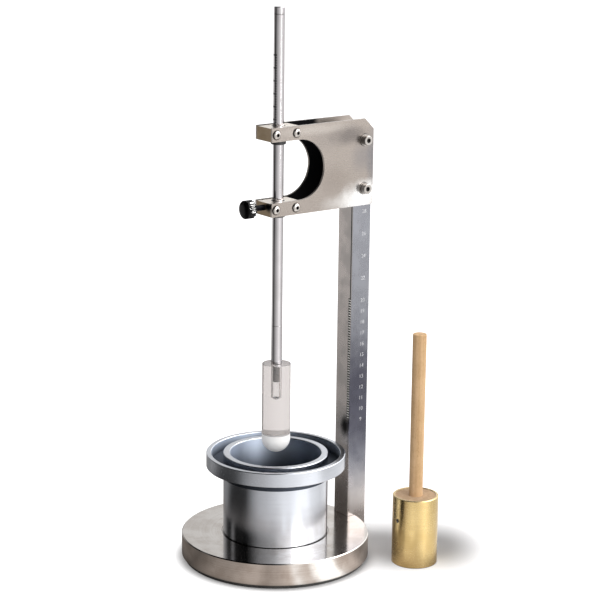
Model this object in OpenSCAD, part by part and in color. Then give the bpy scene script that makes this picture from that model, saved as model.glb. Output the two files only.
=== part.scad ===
// Plunger penetration apparatus: a plunger on a guided rod over a test cup, with its tamper.
// Millimetres. The origin is under the rod's axis, on the plane that the apparatus stands on.
// +Z is up, +Y runs from the rod to the column, and the scale side of the column faces +X.

/* [Base] */
// Diameter of the base plate
base_d = 165; // [150:1:200]
// Thickness of the base plate
base_h = 20; // [16:0.5:30]
// Bevel on the edges of the base plate
base_bevel = 0.8; // [0.3:0.1:2]
// Diameter of the rubber pad under the base plate
pad_d = 160; // [120:1:164]
// Thickness of the rubber pad
pad_h = 3; // [2:0.5:6]
// Width of the circle turned in the base plate round the cup's foot
circle_w = 0.8; // [0.4:0.1:2]
// Depth of that circle
circle_depth = 0.4; // [0.2:0.1:1]

/* [Column] */
// Width of the column, which is also the gap between the side plates
column_w = 20; // [16:0.5:24]
// Depth of the column, front to back
column_depth = 20; // [16:0.5:26]
// Bevel on the long edges of the column
column_bevel = 0.5; // [0.2:0.1:1.5]
// Distance from the rod's axis to the front of the column
throat = 73.5; // [66:0.5:78]
// Distance from the column's top down from the top of the side plates
column_drop = 8; // [2:0.5:14]
// Diameter of the screws that hold the column to the base plate
foot_screw_d = 5; // [4:0.5:5]
// Height between those two screws
foot_screw_pitch = 10; // [9.5:0.1:11]

/* [Head] */
// Height of the head's underside above the base plate
head_rise = 286; // [230:1:360]
// Thickness of a side plate
plate_t = 2; // [1.5:0.1:4]
// Height of each arm
arm_h = 12; // [11:0.5:16]
// Height of the slot between the arms, whose inner end is round
slot_h = 52; // [40:1:60]
// Distance from the rod's axis to the centre of the slot's round end
slot_centre = 14.5; // [10:0.5:18]
// Length of the bevelled corner of the side plates
corner_cut = 9.5; // [4:0.5:12]
// Distance from the rod's axis to the front end of the arms
arm_reach = 15; // [14:0.5:18]
// Distance from the rod's axis to each pair of arm screws
arm_screw_off = 10.5; // [9.5:0.1:11.5]
// Diameter of the arm screws
arm_screw_d = 4; // [3:0.5:4]
// Length of the arm screws under their heads
arm_screw_l = 8; // [6:0.5:9]
// Diameter of the bolts through the side plates into the column
head_bolt_d = 5; // [4:0.5:6]
// Length of those bolts under their heads
head_bolt_l = 12; // [8:0.5:12.5]
// Height of the lower bolt above the head's underside
lower_bolt_rise = 15; // [10:0.5:20]
// Distance from the upper bolt up to the top of the side plates
upper_bolt_drop = 18.5; // [16:0.5:26]
// Thickness of the washers under those bolts
washer_t = 1; // [0.5:0.1:2]

/* [Guides] */
// How far the guide blocks lie below the top of their arms
block_drop = 0.5; // [0.3:0.1:1.5]
// Outer diameter of the guide bushes where they sit in the blocks
bush_d = 12; // [11.5:0.1:13]
// Diameter of the bush flange under the block
flange_d = 13; // [13:0.1:14]
// Height of the bush flange under the upper block
upper_flange_h = 4; // [1:0.5:6]
// Height of the bush flange under the lower block
lower_flange_h = 2.5; // [1:0.5:6]
// Radial clearance between the rod and its bushes
rod_play = 0.05; // [0.03:0.01:0.1]

/* [Rod and plunger] */
// Diameter of the rod
rod_d = 9.5; // [8:0.1:10]
// Length of the rod above the plunger
rod_l = 308; // [290:1:340]
// Wall of the rod's tube
rod_wall = 0.6; // [0.5:0.1:1.5]
// Height of the plug that shows at the rod's top
plug_h = 6.3; // [4:0.1:12]
// Length of the solid end piece that shows above the plunger
rod_end_l = 34.3; // [20:0.1:60]
// Length of the spigots of the plug and the end piece in the tube
spigot_l = 12; // [6:0.5:20]
// Diameter of the plunger
plunger_d = 25; // [24:0.5:30]
// Length of the plunger with its tip
plunger_l = 80; // [70:0.5:90]
// Length of the straight part of the white tip
tip_straight = 5; // [3:0.5:12]
// Gap between the tip and the plane of the cup's rim, as it stands
tip_gap = 0.5; // [0.3:0.1:5]
// Diameter of the stud between the rod and the plunger
stud_d = 6; // [4:0.5:7]
// Length of that stud
stud_l = 15.5; // [10:0.5:18]
// Depth of the hole for the stud
stud_hole_depth = 30; // [22:0.5:40]
// Small bevel on the plunger's top edge
plunger_edge = 0.2; // [0.1:0.1:0.5]

/* [Clamp] */
// Height of the clamp's axis above the middle of the lower arm
clamp_rise = 1; // [0:0.1:1.5]
// Diameter of the clamp's stud
clamp_stud_d = 5; // [4:0.1:5]
// Length of the pad at the end of the stud
clamp_pad_l = 3; // [2:0.1:4]
// Gap between the pad and the rod
clamp_gap = 0.1; // [0.05:0.01:0.3]
// Distance from the block to the knob's rear face
knob_stand_off = 12; // [6:0.5:16]
// Diameter of the knob
knob_d = 16; // [12:0.5:20]
// Length of the knob
knob_l = 9.5; // [8:0.5:14]
// Length of the neck behind the knob
neck_l = 2.5; // [1:0.5:5]
// Number of flutes round the knob
knob_flutes = 14; // [8:1:20]
// Radius of a flute
flute_r = 1.1; // [0.5:0.1:1.2]

/* [Cup] */
// Inside diameter of the cup
cup_bore_d = 80; // [70:1:82]
// Inside depth of the cup
cup_depth = 70; // [60:1:80]
// Wall of the cup
cup_wall = 6; // [4:0.5:8]
// Floor of the cup
cup_floor = 3; // [2:0.5:6]
// Outside diameter of the spill ring
ring_d = 122; // [116:1:130]
// Wall of the spill ring
ring_wall = 4.5; // [3:0.5:5]
// Height of the spill ring
ring_h = 12.5; // [10:0.5:20]
// Thickness of the spill ring's floor
ring_floor = 3; // [2:0.5:5]
// Height of the collar under the spill ring
collar_h = 8; // [4:0.5:15]
// Wall of that collar
collar_wall = 1.5; // [1:0.1:3]
// Small bevel on turned edges
edge = 0.5; // [0.2:0.1:0.6]

/* [Tamper] */
// Distance from the rod's axis to the tamper's axis, towards +X
tamper_x = 83; // [78:1:140]
// Distance from the rod's axis to the tamper's axis, towards +Y
tamper_y = 91.5; // [88:0.5:140]
// Diameter of the tamper
tamper_d = 40; // [36:0.5:46]
// Height of the brass shell
tamper_h = 62; // [50:1:80]
// Wall of the brass shell
shell_wall = 2; // [1:0.1:4]
// Floor of the brass shell
shell_floor = 8; // [4:0.5:12]
// How far the wooden core lies below the shell's rim
core_drop = 0.6; // [0.5:0.1:4]
// Diameter of the wooden handle
handle_d = 12; // [10:0.5:18]
// Height of the handle's top above the table
handle_top = 207.5; // [160:0.5:260]
// Depth of the handle in the core
handle_depth = 30; // [20:1:38]
// Diameter of the cross pin in the shell
pin_d = 3; // [2:0.5:4]
// Length of the cross pin
pin_l = 10; // [6:0.5:12]
// Depth of the cross pin's end below the shell's surface
pin_drop = 1; // [0.4:0.1:1.5]
// Height of the cross pin above the table
pin_z = 41.5; // [30:0.5:48]

/* [Hidden] */
$fn = 96;

// How far cutting shapes reach past the faces that they cut
over = 1;
// Radial clearance round screws in plain holes
screw_play = 0.15;
// Radial clearance round screws in tapped holes
tapped_play = 0.05;
// Radial clearance of the spigots and the handle in their bores
fit_play = 0.02;

// Heights
base_top = pad_h + base_h;
head_bottom = base_top + head_rise;
plate_h = 2 * arm_h + slot_h;
head_top = head_bottom + plate_h;
lower_arm_z = head_bottom + arm_h / 2;
upper_arm_z = head_top - arm_h / 2;
slot_z = head_bottom + plate_h / 2;
column_top = head_top - column_drop;
cup_rim = base_top + cup_floor + cup_depth;
tip_z = cup_rim + tip_gap;
plunger_top = tip_z + plunger_l;
tip_joint = tip_z + plunger_d / 2 + tip_straight;
rod_top = plunger_top + rod_l;
tube_bottom = plunger_top + rod_end_l;
tube_top = rod_top - plug_h;

// Column and head
column_back = throat + column_depth;
column_mid = throat + column_depth / 2;
plate_face = column_w / 2 + plate_t;
foot_screw_z = pad_h + base_h / 2;
foot_screw_l = 26;
foot_head_depth = foot_screw_d + 0.5;
bolt_heights = [head_bottom + lower_bolt_rise, head_top - upper_bolt_drop];
arm_heights = [lower_arm_z, upper_arm_z];
block_h = arm_h - block_drop;

// Clamp
clamp_z = lower_arm_z + clamp_rise;
pad_face = rod_d / 2 + clamp_gap;
pad_back = pad_face + clamp_pad_l;
neck_d = clamp_stud_d + 2;
knob_back = arm_reach + knob_stand_off;
knob_front = knob_back + knob_l;
stud_end_in_knob = knob_front - 3;

// Cup
cup_r = cup_bore_d / 2 + cup_wall;
ring_bottom = cup_rim - ring_h;
circle_r = cup_r + 0.6;

// A turned bar with bevelled ends, standing on z = 0
module turned_bar(d, h, bevel) {
    rotate_extrude()
        polygon([[0, 0], [d / 2 - bevel, 0], [d / 2, bevel], [d / 2, h - bevel], [d / 2 - bevel, h], [0, h]]);
}

// A plain hole of diameter d and depth h, reaching past its mouth below z = 0
module hole(d, h) {
    translate([0, 0, -over]) cylinder(d = d, h = h + over);
}

// A button-head socket screw: its head rises from z = 0 and its shank goes down
module button_screw(d, l) {
    head_d = 1.9 * d;
    head_h = 0.55 * d;
    difference() {
        rotate_extrude()
            polygon([[0, 0], [head_d / 2, 0], [head_d / 2, head_h * 0.25], [head_d / 2 - 0.1 * d, head_h * 0.62],
                     [head_d / 2 - 0.27 * d, head_h * 0.9], [head_d / 2 - 0.4 * d, head_h], [0, head_h]]);
        translate([0, 0, head_h * 0.3]) cylinder(d = 0.72 * d, h = head_h, $fn = 6);
    }
    translate([0, 0, -l]) turned_bar(d, l, 0.3);
}

// A cylindrical socket-head bolt: its head rises from z = 0 and its shank goes down
module socket_bolt(d, l) {
    difference() {
        turned_bar(1.7 * d, d, 0.08 * d);
        translate([0, 0, 0.45 * d]) cylinder(d = 0.92 * d, h = d, $fn = 6);
    }
    translate([0, 0, -l]) turned_bar(d, l, 0.3);
}

// Places children on the outer face of a side plate, side = 1 at +X and -1 at -X, facing outwards
module on_side(side, y, z, stand = 0) {
    translate([side * (plate_face + stand), y, z]) rotate([0, side * 90, 0]) children();
}

module base_pad() {
    color("#2b2b2b")
        cylinder(d = pad_d, h = pad_h);
}

module base_plate() {
    color("#b9b4ac")
        difference() {
            translate([0, 0, pad_h]) turned_bar(base_d, base_h, base_bevel);
            translate([-column_w / 2, throat, pad_h - over]) cube([column_w, base_d, base_h + 2 * over]);
            translate([0, 0, base_top - circle_depth])
                difference() {
                    cylinder(r = circle_r + circle_w, h = circle_depth + over);
                    translate([0, 0, -over]) cylinder(r = circle_r, h = circle_depth + 3 * over);
                }
            for (z = [-1, 1] * foot_screw_pitch / 2)
                translate([0, throat, foot_screw_z + z]) rotate([90, 0, 0])
                    hole(foot_screw_d + 2 * tapped_play, foot_screw_l - column_depth + foot_head_depth + 2);
        }
}

// Outline of the column with its long edges bevelled
module column_outline() {
    w = column_w / 2;
    b = column_bevel;
    polygon([[-w + b, throat], [w - b, throat], [w, throat + b], [w, column_back - b],
             [w - b, column_back], [-w + b, column_back], [-w, column_back - b], [-w, throat + b]]);
}

module column() {
    color("#a9a6a2")
        difference() {
            translate([0, 0, pad_h]) linear_extrude(column_top - pad_h) column_outline();
            for (z = [-1, 1] * foot_screw_pitch / 2)
                translate([0, column_back, foot_screw_z + z]) rotate([90, 0, 0]) {
                    hole(foot_screw_d + 2 * screw_play, column_depth + over);
                    hole(1.7 * foot_screw_d + 2 * screw_play, foot_head_depth);
                }
            for (z = bolt_heights)
                translate([-column_w / 2, column_mid, z]) rotate([0, 90, 0])
                    hole(head_bolt_d + 2 * tapped_play, column_w + over);
        }
}

module column_screws() {
    color("#c9c9c9")
        for (z = [-1, 1] * foot_screw_pitch / 2)
            translate([0, column_back - foot_head_depth, foot_screw_z + z]) rotate([-90, 0, 0])
                socket_bolt(foot_screw_d, foot_screw_l);
}

// Outline of a side plate in its own plane: first value along Y, second up
module plate_outline() {
    difference() {
        polygon([[-arm_reach, head_bottom], [column_back, head_bottom], [column_back, head_top - corner_cut],
                 [column_back - corner_cut, head_top], [-arm_reach, head_top]]);
        translate([slot_centre, slot_z]) circle(d = slot_h);
        translate([-arm_reach - over, slot_z - slot_h / 2]) square([arm_reach + over + slot_centre, slot_h]);
        for (y = [-1, 1] * arm_screw_off, z = arm_heights)
            translate([y, z]) circle(d = arm_screw_d + 2 * screw_play);
        for (z = bolt_heights)
            translate([column_mid, z]) circle(d = head_bolt_d + 2 * screw_play);
    }
}

// A side plate whose inner face lies on x = inner
module side_plate(inner) {
    translate([inner, 0, 0]) rotate([90, 0, 90]) linear_extrude(plate_t) plate_outline();
}

module side_plate_right() {
    color("#b5b1aa") side_plate(column_w / 2);
}

module side_plate_left() {
    color("#b5b1aa") side_plate(-column_w / 2 - plate_t);
}

// A guide block with its bush hole and its cross holes for the arm screws
module guide_block(arm_z) {
    difference() {
        translate([-column_w / 2, -arm_reach, arm_z - arm_h / 2]) cube([column_w, 2 * arm_reach, block_h]);
        translate([0, 0, arm_z - arm_h / 2]) hole(bush_d, arm_h + over);
        for (y = [-1, 1] * arm_screw_off)
            translate([-column_w / 2, y, arm_z]) rotate([0, 90, 0])
                hole(arm_screw_d + 2 * tapped_play, column_w + over);
    }
}

// The clamp's hole, from the front of the lower arm in to the rod
module clamp_hole() {
    translate([0, -arm_reach, clamp_z]) rotate([-90, 0, 0])
        hole(clamp_stud_d + 2 * rod_play, arm_reach);
}

module guide_block_upper() {
    color("#8d7450") guide_block(upper_arm_z);
}

module guide_block_lower() {
    color("#8d7450")
        difference() {
            guide_block(lower_arm_z);
            clamp_hole();
        }
}

// A guide bush with its flange under the block
module guide_bush(arm_z, flange_h) {
    bottom = arm_z - arm_h / 2;
    difference() {
        union() {
            translate([0, 0, bottom]) cylinder(d = bush_d, h = block_h);
            translate([0, 0, bottom - flange_h])
                rotate_extrude()
                    polygon([[0, 0], [flange_d / 2 - edge, 0], [flange_d / 2, edge], [flange_d / 2, flange_h], [0, flange_h]]);
        }
        translate([0, 0, bottom - flange_h]) hole(rod_d + 2 * rod_play, block_h + flange_h + over);
    }
}

module guide_bush_upper() {
    color("#1c1c1c") guide_bush(upper_arm_z, upper_flange_h);
}

module guide_bush_lower() {
    color("#1c1c1c")
        difference() {
            guide_bush(lower_arm_z, lower_flange_h);
            clamp_hole();
        }
}

module arm_screws(side) {
    for (y = [-1, 1] * arm_screw_off, z = arm_heights)
        on_side(side, y, z) button_screw(arm_screw_d, arm_screw_l);
}

module arm_screws_right() {
    color("#d0d0d0") arm_screws(1);
}

module arm_screws_left() {
    color("#d0d0d0") arm_screws(-1);
}

module head_bolts(side) {
    for (z = bolt_heights)
        on_side(side, column_mid, z, washer_t) socket_bolt(head_bolt_d, head_bolt_l);
}

module head_bolts_right() {
    color("#d0d0d0") head_bolts(1);
}

module head_bolts_left() {
    color("#d0d0d0") head_bolts(-1);
}

module head_washers() {
    color("#c4c4c4")
        for (side = [-1, 1], z = bolt_heights)
            on_side(side, column_mid, z)
                difference() {
                    cylinder(d = 2 * head_bolt_d, h = washer_t);
                    hole(head_bolt_d + 2 * screw_play, washer_t + over);
                }
}

module rod_tube() {
    color("#c8c8cc")
        translate([0, 0, tube_bottom])
            difference() {
                cylinder(d = rod_d, h = tube_top - tube_bottom);
                hole(rod_d - 2 * rod_wall, tube_top - tube_bottom + over);
            }
}

module rod_top_plug() {
    color("#c8c8cc") {
        translate([0, 0, tube_top]) turned_bar(rod_d, plug_h, edge);
        translate([0, 0, tube_top - spigot_l]) cylinder(d = rod_d - 2 * (rod_wall + fit_play), h = spigot_l + edge);
    }
}

module rod_end() {
    color("#c8c8cc") {
        translate([0, 0, plunger_top]) turned_bar(rod_d, rod_end_l, 0.3);
        translate([0, 0, tube_bottom - edge]) cylinder(d = rod_d - 2 * (rod_wall + fit_play), h = spigot_l + edge);
        translate([0, 0, plunger_top - stud_l]) turned_bar(stud_d, stud_l + edge, 0.4);
    }
}

module plunger_body() {
    color([0.9, 0.93, 0.93, 0.5])
        difference() {
            translate([0, 0, tip_joint])
                rotate_extrude()
                    polygon([[0, 0], [plunger_d / 2, 0], [plunger_d / 2, plunger_top - tip_joint - plunger_edge],
                             [plunger_d / 2 - plunger_edge, plunger_top - tip_joint],
                             [0, plunger_top - tip_joint]]);
            translate([0, 0, plunger_top]) rotate([180, 0, 0]) hole(stud_d + 2 * tapped_play, stud_hole_depth);
            translate([0, 0, plunger_top - stud_hole_depth]) rotate([180, 0, 0])
                cylinder(d1 = stud_d + 2 * tapped_play, d2 = 0, h = stud_d * 0.3);
        }
}

module plunger_tip() {
    color("#f2f2f0")
        union() {
            translate([0, 0, tip_joint - tip_straight]) cylinder(d = plunger_d, h = tip_straight);
            intersection() {
                translate([0, 0, tip_z + plunger_d / 2]) sphere(d = plunger_d);
                translate([0, 0, tip_z - over]) cylinder(d = plunger_d + 2 * over, h = plunger_d / 2 + over);
            }
        }
}

// Turns a shape that stands on z = 0 so that it points to -Y, and moves it out along the clamp's axis
module on_clamp_axis(distance) {
    translate([0, -distance, clamp_z]) rotate([90, 0, 0]) children();
}

module clamp_pad() {
    color("#e8e4d8")
        on_clamp_axis(pad_face) turned_bar(clamp_stud_d, clamp_pad_l - clamp_gap, 0.3);
}

module clamp_stud() {
    color("#9a9a9a")
        on_clamp_axis(pad_back) turned_bar(clamp_stud_d, stud_end_in_knob - pad_back, 0.3);
}

module clamp_knob() {
    color("#101010")
        difference() {
            union() {
                on_clamp_axis(knob_back - neck_l) cylinder(d = neck_d, h = neck_l + edge);
                on_clamp_axis(knob_back)
                    rotate_extrude()
                        polygon([[0, 0], [knob_d / 2 - 1.6, 0], [knob_d / 2 - 0.5, 0.5], [knob_d / 2, 1.5],
                                 [knob_d / 2, knob_l - 3], [knob_d / 2 - 0.5, knob_l - 1.6],
                                 [knob_d / 2 - 1.6, knob_l - 0.5], [knob_d / 2 - 3, knob_l], [0, knob_l]]);
            }
            for (i = [0 : knob_flutes - 1])
                on_clamp_axis(knob_back - over) rotate([0, 0, i * 360 / knob_flutes])
                    translate([knob_d / 2 + flute_r * 0.35, 0, 0]) cylinder(r = flute_r, h = knob_l + 2 * over, $fn = 24);
            on_clamp_axis(arm_reach) hole(clamp_stud_d, stud_end_in_knob - arm_reach);
        }
}

module cup_body() {
    color("#9aa0a8")
        translate([0, 0, base_top])
            rotate_extrude()
                polygon([[0, 0], [cup_r - edge, 0], [cup_r, edge], [cup_r, cup_rim - base_top - edge],
                         [cup_r - edge, cup_rim - base_top], [cup_bore_d / 2 + edge, cup_rim - base_top],
                         [cup_bore_d / 2, cup_rim - base_top - edge], [cup_bore_d / 2, cup_floor], [0, cup_floor]]);
}

module spill_ring() {
    outer = ring_d / 2;
    inner = outer - ring_wall;
    color("#9aa0a8")
        translate([0, 0, ring_bottom])
            rotate_extrude()
                polygon([[cup_r, -collar_h], [cup_r + collar_wall, -collar_h], [cup_r + collar_wall, 0], [outer - edge, 0],
                         [outer, edge], [outer, ring_h - edge], [outer - edge, ring_h], [inner + edge, ring_h],
                         [inner, ring_h - edge], [inner, ring_floor], [cup_r, ring_floor]]);
}

module at_tamper() {
    translate([tamper_x, tamper_y, 0]) children();
}

// The cross pin's hole through the shell, on the side away from the column
module at_pin(depth) {
    at_tamper() translate([0, -tamper_d / 2 + depth, pin_z]) rotate([-90, 0, 0]) children();
}

module tamper_shell() {
    outer = tamper_d / 2;
    inner = outer - shell_wall;
    color("#b89a55")
        difference() {
            at_tamper()
                rotate_extrude()
                    polygon([[0, 0], [outer - edge, 0], [outer, edge], [outer, tamper_h - edge], [outer - edge, tamper_h],
                             [inner, tamper_h], [inner, shell_floor], [0, shell_floor]]);
            at_pin(0) hole(pin_d, shell_wall + over);
        }
}

module tamper_core() {
    core_d = tamper_d - 2 * shell_wall;
    color("#a9794a")
        difference() {
            at_tamper() translate([0, 0, shell_floor]) cylinder(d = core_d, h = tamper_h - core_drop - shell_floor);
            at_tamper() translate([0, 0, tamper_h - core_drop]) rotate([180, 0, 0]) hole(handle_d + 2 * fit_play, handle_depth);
            at_pin(shell_wall) hole(pin_d, pin_l - shell_wall + pin_drop);
        }
}

module tamper_handle() {
    color("#d9b184")
        at_tamper() translate([0, 0, tamper_h - core_drop - handle_depth])
            turned_bar(handle_d, handle_top - tamper_h + core_drop + handle_depth, edge);
}

module tamper_pin() {
    color("#3a3a3a")
        at_pin(pin_drop) cylinder(d = pin_d, h = pin_l);
}

base_pad();
base_plate();
column();
column_screws();
side_plate_right();
side_plate_left();
guide_block_upper();
guide_block_lower();
guide_bush_upper();
guide_bush_lower();
arm_screws_right();
arm_screws_left();
head_bolts_right();
head_bolts_left();
head_washers();
rod_tube();
rod_top_plug();
rod_end();
plunger_body();
plunger_tip();
clamp_pad();
clamp_stud();
clamp_knob();
cup_body();
spill_ring();
tamper_shell();
tamper_core();
tamper_handle();
tamper_pin();
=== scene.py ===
import math

import bmesh
import bpy
import numpy as np
from mathutils import Matrix, Vector


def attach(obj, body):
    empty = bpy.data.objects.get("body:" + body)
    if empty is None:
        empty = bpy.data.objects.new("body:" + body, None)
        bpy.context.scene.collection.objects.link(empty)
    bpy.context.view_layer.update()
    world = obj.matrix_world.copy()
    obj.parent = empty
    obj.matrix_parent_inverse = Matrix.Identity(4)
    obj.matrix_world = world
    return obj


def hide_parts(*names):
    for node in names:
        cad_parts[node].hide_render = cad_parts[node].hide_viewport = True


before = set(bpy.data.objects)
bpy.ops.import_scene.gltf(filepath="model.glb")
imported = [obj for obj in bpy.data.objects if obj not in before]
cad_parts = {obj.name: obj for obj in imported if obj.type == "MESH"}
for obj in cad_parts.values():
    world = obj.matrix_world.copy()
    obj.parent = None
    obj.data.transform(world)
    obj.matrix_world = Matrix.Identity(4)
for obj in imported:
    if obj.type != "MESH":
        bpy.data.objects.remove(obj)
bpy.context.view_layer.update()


# The room
# The set stands on a plain white table in soft daylight and is seen from a little above.
# The view was worked out from the edges of the base, the cup, the rod and the column.

VIEW_PLACE = Vector((1.36103, -0.99511, 0.65990))
VIEW_RIGHT = Vector((0.59740, 0.80187, 0.01089))
VIEW_UP = Vector((-0.20304, 0.13811, 0.96938))
VIEW_LENS = 121.25
SENSOR = 36.0
SET_MIDDLE = Vector((0.0, 0.0, 0.18))
NOWHERE = (0.0, 0.0, 0.0)
WHITE = (1.0, 1.0, 1.0)
WINDOW_WHITE = (1.0, 0.985, 0.965)
WINDOW_SIDE = (0.6, 0.8, 0.0)
SKY_WHITE = (0.98, 0.99, 1.0)
SKY_HEIGHTS = (0.30, 0.85)
# Smooth steps towards the window, as start, end and the levels there: the brightness of the
# upper room in mirrors, and the soft light on the set
UPPER_ROOM = (0.05, 0.85, 0.0, 9.0)
SOFT_LIGHT = (-1.0, 1.0, 0.12, 1.38)
# Name, place, width, height, power, whether gloss shows the lamp, and the table's share in its light
LAMPS = (("window_table", (-1.05, -0.90, 0.80), 0.5, 0.5, 8.0, False, "INCLUDE"),
         ("window_front", (0.10, -1.25, 1.15), 1.0, 1.0, 1.5, False, "EXCLUDE"),
         ("window_right", (1.30, 0.40, 0.95), 0.8, 0.8, 8.0, True, "EXCLUDE"),
         ("window_gap", (1.50, 0.30, 0.60), 0.05, 1.1, 2.0, True, "EXCLUDE"),
         ("ceiling", (0.10, 0.10, 1.90), 1.3, 1.3, 7.0, False, "EXCLUDE"))
TABLE_SIZE = 14.0
TABLE_WHITE = (0.90, 0.90, 0.90)
TABLE_SHADED = (0.45, 0.44, 0.44)
# The long soft patch of shade: its direction, the way across it, where its middle line lies, how
# long that is, how much faster it fades past the ends, and where it fades out
SHADE_ALONG = (0.6, 0.8, 0.0)
SHADE_ACROSS = (0.8, -0.6, 0.0)
SHADE_MIDDLE = 0.09
SHADE_HALF = 0.055
SHADE_ASIDE = 0.026
SHADE_END_GAIN = 1.5
SHADE_FADE = (0.012, 0.092)
# The narrow rim of shade round the base: its radii and the light left at the inner one
RIM_FADE = (0.080, 0.093)
RIM_LIGHT = 0.20
# In mirrors: the radii of the dimmed rim with the light left there, and of the warm ground
MIRROR_RIM = (0.080, 0.100)
MIRROR_RIM_LIGHT = 0.45
WARM_REACH = (0.20, 0.12)
WARM_LEVELS = (1.7, 0.8)
GROUND_COOL = (1.0, 0.99, 0.98)
GROUND_WARM = (1.0, 0.88, 0.80)
# Distances from the rod's axis over which each further zone of the table takes over
ZONE_STARTS = (("Near", 0.150, 0.178), ("Arm", 0.25, 0.36), ("Far", 0.66, 0.90), ("Beyond", 1.18, 1.32))
TONE_TOP = 4.0
# Brightness of the table and the room as polished metal shows them, by direction round the
# rod's axis in degrees from the column's scale side: the table beside the base, near the set,
# at arm's length, far off and beyond, and the room's walls
TONES = {
    "Foot": ((-180, 0.30), (-150, 0.20), (-118, 0.20), (-108, 0.16), (-96, 0.28), (-85, 0.42),
             (-76, 0.44), (-67, 0.52), (-58, 0.66), (-50, 0.72), (-42, 0.58), (-34, 0.68), (-26, 0.92),
             (-20, 1.55), (-15, 1.30), (-9, 1.15), (-4, 1.90), (2, 2.40), (12, 2.60), (18, 1.25),
             (26, 0.90), (34, 0.85), (43, 0.48), (55, 0.30), (90, 0.35), (130, 0.45), (180, 0.30)),
    "Near": ((-180, 0.30), (-163, 0.30), (-155, 0.25), (-147, 0.10), (-137, 0.0), (-98, 0.02),
             (-90, 0.18), (-79, 0.50), (-68, 0.74), (-53, 0.86), (-22, 1.40), (0, 1.55), (8, 1.75),
             (20, 1.95), (32, 2.00), (38, 1.65), (52, 1.42), (69, 1.20), (91, 1.35), (125, 1.00),
             (150, 0.60), (180, 0.30)),
    "Arm": ((-180, 0.30), (-167, 0.26), (-157, 0.52), (-145, 0.48), (-136, 0.30), (-126, 0.16),
            (-108, 0.14), (-98, 0.18), (-88, 0.26), (-70, 0.55), (-53, 0.74), (-20, 1.12), (4, 1.42),
            (24, 1.50), (34, 1.25), (42, 0.74), (54, 0.76), (62, 0.98), (75, 1.02), (95, 0.80),
            (150, 0.62), (180, 0.30)),
    "Far": ((-180, 0.75), (-152, 0.78), (-140, 0.72), (-133, 0.30), (-126, 0.05), (-108, 0.05),
            (-90, 0.34), (-52, 0.68), (-17, 1.10), (8, 1.55), (24, 1.45), (31, 1.10), (40, 0.90),
            (60, 0.85), (111, 0.85), (150, 0.85), (180, 0.75)),
    "Beyond": ((-180, 0.75), (-152, 0.80), (-144, 0.78), (-138, 0.40), (-133, 0.16), (-126, 0.03),
               (-108, 0.03), (-90, 0.28), (-52, 0.66), (-17, 1.08), (8, 1.50), (24, 1.25), (33, 1.08),
               (42, 1.05), (60, 0.95), (75, 0.85), (150, 0.85), (180, 0.75)),
    "Room": ((-180, 0.45), (-168, 0.10), (-158, 0.03), (-151, 0.06), (-146, 0.40), (-142, 0.42),
             (-136, 0.02), (-100, 0.0), (-90, 0.10), (-82, 0.26), (-71, 0.52), (-52, 0.80), (-38, 1.05),
             (-27, 1.75), (-10, 2.20), (6, 2.80), (30, 3.10), (52, 3.10), (66, 2.40), (90, 1.90),
             (111, 1.80), (130, 1.65), (140.5, 1.50), (142.5, 0.95), (160, 0.75), (180, 0.45))}


def fill(tree, node, inputs):
    """Fills a node's inputs with numbers, links or colours of red, green and blue, and returns
    its outputs."""
    for key, value in inputs.items():
        if isinstance(value, bpy.types.NodeSocket):
            tree.links.new(value, node.inputs[key])
        elif node.inputs[key].type == "RGBA":
            node.inputs[key].default_value = (*value, 1.0)
        else:
            node.inputs[key].default_value = value
    return node.outputs


def add(tree, kind, inputs=None, **settings):
    """Adds a shader node with its settings and inputs to a tree and returns its outputs."""
    made = tree.nodes.new("ShaderNode" + kind)
    for key, value in settings.items():
        setattr(made, key, value)
    return fill(tree, made, inputs or {})


def calc(tree, operation, first, second=0.0, third=0.0):
    """One step of arithmetic on numbers or sockets."""
    return add(tree, "Math", {0: first, 1: second, 2: third}, operation=operation)[0]


def times(tree, first, second):
    """The product of two numbers or sockets."""
    return calc(tree, "MULTIPLY", first, second)


def plus(tree, value, gain, base):
    """Base plus value times gain."""
    return calc(tree, "MULTIPLY_ADD", value, gain, base)


def vector(tree, operation, first, second=None):
    """One step of arithmetic on vectors; a length or a dot product comes out as a number."""
    inputs = {0: first} if second is None else {0: first, 1: second}
    outputs = add(tree, "VectorMath", inputs, operation=operation)
    return outputs["Value" if operation in ("LENGTH", "DOT_PRODUCT") else "Vector"]


def fade(tree, value, start, end, low=0.0, high=1.0):
    """A smooth step: low where value is under start, high where it is over end."""
    inputs = {"Value": value, "From Min": start, "From Max": end, "To Min": low, "To Max": high}
    return add(tree, "MapRange", inputs, interpolation_type="SMOOTHSTEP")["Result"]


def blend(tree, amount, first, second):
    """A colour between the first and the second, by amount from 0 to 1."""
    return add(tree, "Mix", {0: amount, 6: first, 7: second}, data_type="RGBA")[2]


def noise(tree, place, scale, detail=2.0, roughness=0.5):
    """Smooth noise over a place, so many swells to the metre."""
    inputs = {"Vector": place, "Scale": scale, "Detail": detail, "Roughness": roughness}
    return add(tree, "TexNoise", inputs)["Fac"]


def relief(tree, height, strength, depth):
    """The surface's direction with a fine relief in it."""
    return add(tree, "Bump", {"Height": height, "Strength": strength, "Distance": depth})[0]


def split(tree, place):
    """The X, Y and Z of a place."""
    return add(tree, "SeparateXYZ", {0: place})


def new_group(name, inputs, outputs):
    """An empty shader node group. Its inputs are numbers or vectors by their first values, and
    its outputs are numbers."""
    group = bpy.data.node_groups.new(name, "ShaderNodeTree")
    for label, value in inputs.items():
        kind = "NodeSocketFloat" if isinstance(value, float) else "NodeSocketVector"
        group.interface.new_socket(label, in_out="INPUT", socket_type=kind).default_value = value
    for label in outputs:
        group.interface.new_socket(label, in_out="OUTPUT", socket_type="NodeSocketFloat")
    entry = group.nodes.new("NodeGroupInput").outputs
    result = group.nodes.new("NodeGroupOutput").inputs
    return group, entry, result


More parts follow.
